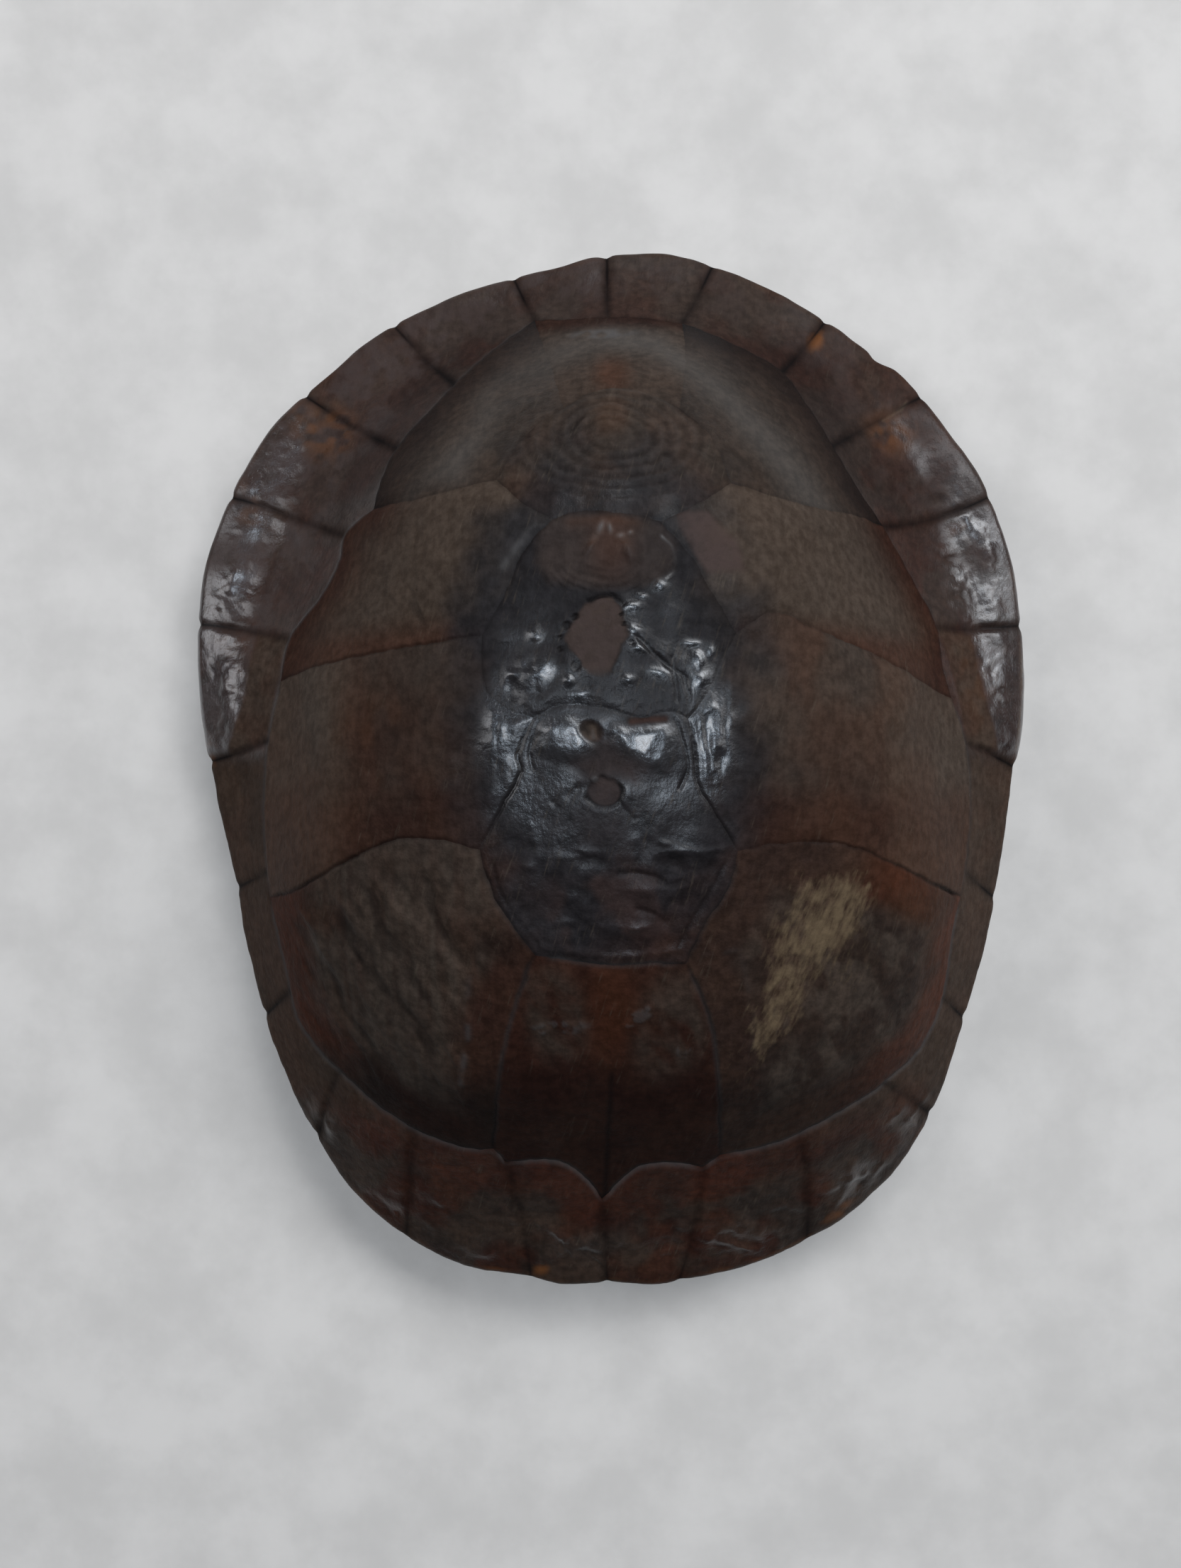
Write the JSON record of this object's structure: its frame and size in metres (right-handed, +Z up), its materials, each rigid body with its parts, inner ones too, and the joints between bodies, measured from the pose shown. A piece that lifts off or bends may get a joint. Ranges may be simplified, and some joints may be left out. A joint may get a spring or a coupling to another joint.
{
  "type": "turtle shell",
  "caption": "Domed upper shell of a river turtle, open underneath, that rests on flat sawn edges at its flanks.",
  "frame": {"origin": "middle of the footprint, on the surface that the sawn edges rest on", "axes": "+Z up, +Y to the tail end, -Y to the head end, +X to the right in a view from above with the tail away"},
  "size_m": [0.1783, 0.2199, 0.066],
  "materials": {
    "horn": "old dark horn, satin to glossy, worn in places",
    "bone": "dry bone, matt, stained"
  },
  "bodies": {
    "root": {"carapace": "horn"}
  },
  "joints": []
}
